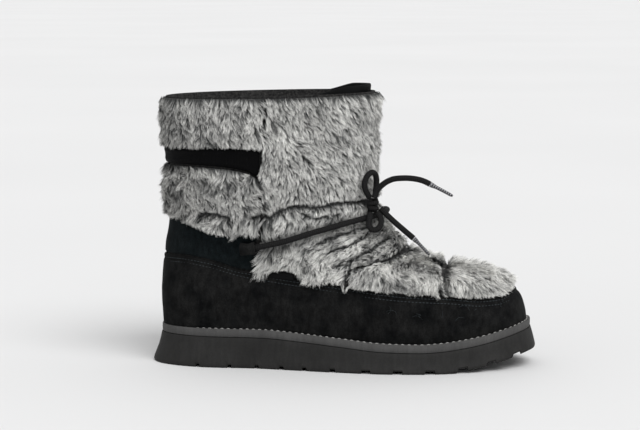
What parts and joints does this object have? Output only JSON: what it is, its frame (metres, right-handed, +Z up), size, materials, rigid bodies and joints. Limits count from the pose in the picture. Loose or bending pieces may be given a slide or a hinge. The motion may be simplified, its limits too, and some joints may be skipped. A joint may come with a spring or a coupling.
{
  "type": "mukluk boot",
  "caption": "Low right-foot winter boot with a fur shaft and vamp, suede mudguard and heel, elastic back band, ankle lace with metal tips and a thick wedge sole.",
  "frame": {"origin": "centre of the bounding box on the ground, under the boot", "axes": "+X to the toe, +Z up, +Y to the inner side of the foot, so the outer side faces -Y"},
  "size_m": [0.281, 0.107, 0.2044],
  "materials": {
    "rubber": "matte",
    "welt_rubber": "matte",
    "lining": "matte",
    "suede": "matte",
    "fur": "matte",
    "webbing": "satin",
    "label": "satin",
    "cord": "matte",
    "metal_tip": "satin"
  },
  "bodies": {
    "root": {"outsole": "rubber", "welt": "welt_rubber", "insole": "lining", "upper": "lining", "mudguard": "suede", "heel_counter": "suede", "fur_toe": "fur", "fur_vamp": "fur", "fur_instep": "fur", "fur_shaft": "fur", "fur_cuff": "fur", "fur_collar": "fur", "elastic_band": "webbing", "tongue": "suede", "side_label": "label", "lace_tab_outer": "suede", "lace_tab_inner": "suede", "lace_wrap": "cord", "lace_knot": "cord", "lace_loop_up": "cord", "lace_loop_down": "cord", "lace_end_upper": "cord", "lace_end_lower": "cord", "aglet_upper": "metal_tip", "aglet_lower": "metal_tip"}
  },
  "joints": []
}
